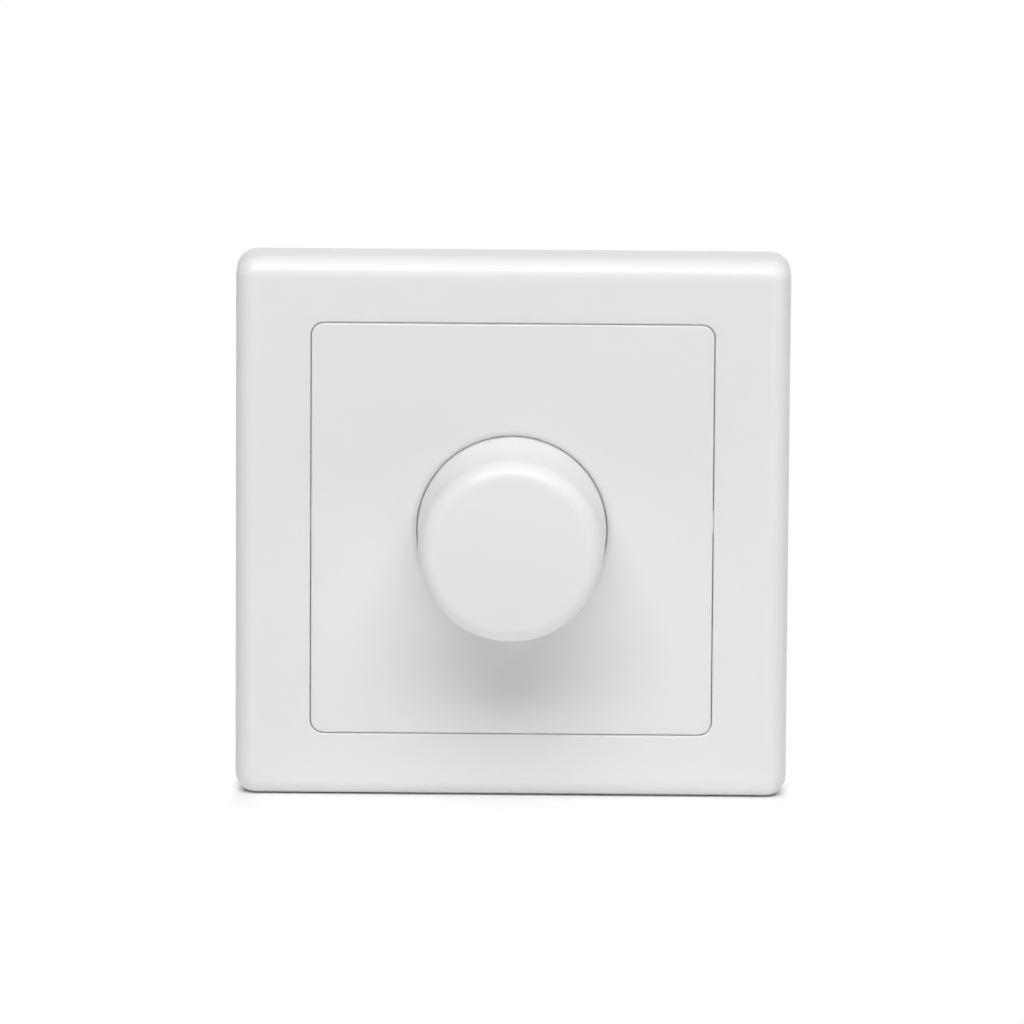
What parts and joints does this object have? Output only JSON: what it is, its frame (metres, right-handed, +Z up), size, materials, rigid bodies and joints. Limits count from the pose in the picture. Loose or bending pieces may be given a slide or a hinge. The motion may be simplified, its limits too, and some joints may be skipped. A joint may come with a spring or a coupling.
{
  "type": "rotary dimmer switch",
  "caption": "White square wall dimmer: cover frame, centre plate and push-and-turn knob on a flush insert with claws, terminals and working inner parts.",
  "frame": {"origin": "on the wall plane, at the centre of the knob and of the cover, midway between the two box screws", "axes": "+X to the right as seen from the room, +Y into the wall, +Z up; the knob points along -Y"},
  "size_m": [0.081, 0.0488, 0.0806],
  "materials": {
    "cover_plastic": "smooth white moulding",
    "zinc_steel": "zinc-plated sheet",
    "screw_steel": "zinc-plated",
    "spindle_steel": "bright turned",
    "spring_steel": "spring wire and strip",
    "housing_plastic": "fine matt",
    "case_plastic": "smooth",
    "rotor_plastic": "natural",
    "board": "paper laminate",
    "brass": "rolled",
    "epoxy": "moulded",
    "pad": "silicone sheet",
    "ferrite": "sintered",
    "copper": "enamelled wire",
    "film_box": "moulded box",
    "disc_lacquer": "dipped",
    "resistor_lacquer": "lacquered",
    "diode_glass": "glass bead",
    "fuse_glass": "clear"
  },
  "bodies": {
    "root": {"base_housing": "housing_plastic", "centre_plate": "cover_plastic", "choke_spool": "ferrite", "choke_winding": "copper", "circuit_board": "board", "cover_frame": "cover_plastic", "disc_capacitors": "disc_lacquer", "fixed_contacts": "brass", "fuse_caps": "brass", "fuse_clips": "brass", "fuse_tube": "fuse_glass", "housing_screws": "screw_steel", "potentiometer_case": "case_plastic", "resistors": "resistor_lacquer", "retaining_nut": "zinc_steel", "return_spring": "spring_steel", "support_plate": "zinc_steel", "suppression_capacitor": "film_box", "switch_case": "case_plastic", "terminal_clamp_left": "brass", "terminal_clamp_middle": "brass", "terminal_clamp_right": "brass", "thin_nut": "zinc_steel", "threaded_bush": "spindle_steel", "track_disc": "board", "triac": "epoxy", "triac_pad": "pad", "triac_rivet": "screw_steel", "trigger_diode": "diode_glass"},
    "push_plunger": {"switch_plunger": "rotor_plastic", "contact_bridge": "brass"},
    "knob_and_spindle": {"knob": "cover_plastic", "hub_spring_ring": "spring_steel", "spindle": "spindle_steel", "spindle_clip": "spring_steel"},
    "wiper": {"wiper_rotor": "rotor_plastic", "wiper_leaf": "spring_steel"},
    "claw_screw_left": {"claw_screw_left": "screw_steel"},
    "claw_nut_left": {"claw_nut_left": "screw_steel"},
    "claw_left": {"claw_left": "zinc_steel"},
    "claw_screw_right": {"claw_screw_right": "screw_steel"},
    "claw_nut_right": {"claw_nut_right": "screw_steel"},
    "claw_right": {"claw_right": "zinc_steel"},
    "terminal_screw_left": {"terminal_screw_left": "screw_steel"},
    "terminal_screw_middle": {"terminal_screw_middle": "screw_steel"},
    "terminal_screw_right": {"terminal_screw_right": "screw_steel"}
  },
  "joints": [
    {"name": "knob_push", "type": "slide", "parent": "root", "child": "push_plunger", "axis": [0, 1, 0], "range_m": [0, 0.001], "stiffness_N_per_m": 1500, "springref_m": -0.001, "deforming": ["return_spring"]},
    {"name": "knob_turn", "type": "hinge", "parent": "push_plunger", "child": "knob_and_spindle", "pos_m": [0, 0, 0], "axis": [0, 1, 0], "range_deg": [-135, 135]},
    {"name": "wiper_turn", "type": "hinge", "parent": "root", "child": "wiper", "pos_m": [0, 0.005, 0], "axis": [0, 1, 0], "range_deg": [-135, 135]},
    {"name": "claw_screw_left_turn", "type": "hinge", "parent": "root", "child": "claw_screw_left", "pos_m": [-0.0242, 0, 0], "axis": [0, 1, 0], "range_deg": [0, 360]},
    {"name": "claw_left_swing", "type": "hinge", "parent": "root", "child": "claw_left", "pos_m": [-0.0226, 0.0016, 0], "axis": [0, 0, 1], "range_deg": [0, 12]},
    {"name": "claw_nut_left_draw", "type": "slide", "parent": "root", "child": "claw_nut_left", "axis": [0, -1, 0], "range_m": [0, 0.0006]},
    {"name": "claw_screw_right_turn", "type": "hinge", "parent": "root", "child": "claw_screw_right", "pos_m": [0.0242, 0, 0], "axis": [0, 1, 0], "range_deg": [0, 360]},
    {"name": "claw_right_swing", "type": "hinge", "parent": "root", "child": "claw_right", "pos_m": [0.0226, 0.0016, 0], "axis": [0, 0, -1], "range_deg": [0, 12]},
    {"name": "claw_nut_right_draw", "type": "slide", "parent": "root", "child": "claw_nut_right", "axis": [0, -1, 0], "range_m": [0, 0.0006]},
    {"name": "terminal_screw_left_turn", "type": "hinge", "parent": "root", "child": "terminal_screw_left", "pos_m": [-0.009, 0.0148, -0.0205], "axis": [0, 0, 1], "range_deg": [-360, 0]},
    {"name": "terminal_screw_middle_turn", "type": "hinge", "parent": "root", "child": "terminal_screw_middle", "pos_m": [0, 0.0148, -0.0205], "axis": [0, 0, 1], "range_deg": [-360, 0]},
    {"name": "terminal_screw_right_turn", "type": "hinge", "parent": "root", "child": "terminal_screw_right", "pos_m": [0.009, 0.0148, -0.0205], "axis": [0, 0, 1], "range_deg": [-360, 0]}
  ],
  "couplings": [
    {"joint": "wiper_turn", "follows": "knob_turn", "ratio": 1},
    {"joint": "claw_left_swing", "follows": "claw_nut_left_draw", "rad_per_m": 349.06},
    {"joint": "claw_screw_left_turn", "follows": "claw_nut_left_draw", "rad_per_m": 10472},
    {"joint": "claw_right_swing", "follows": "claw_nut_right_draw", "rad_per_m": 349.06},
    {"joint": "claw_screw_right_turn", "follows": "claw_nut_right_draw", "rad_per_m": 10472}
  ]
}
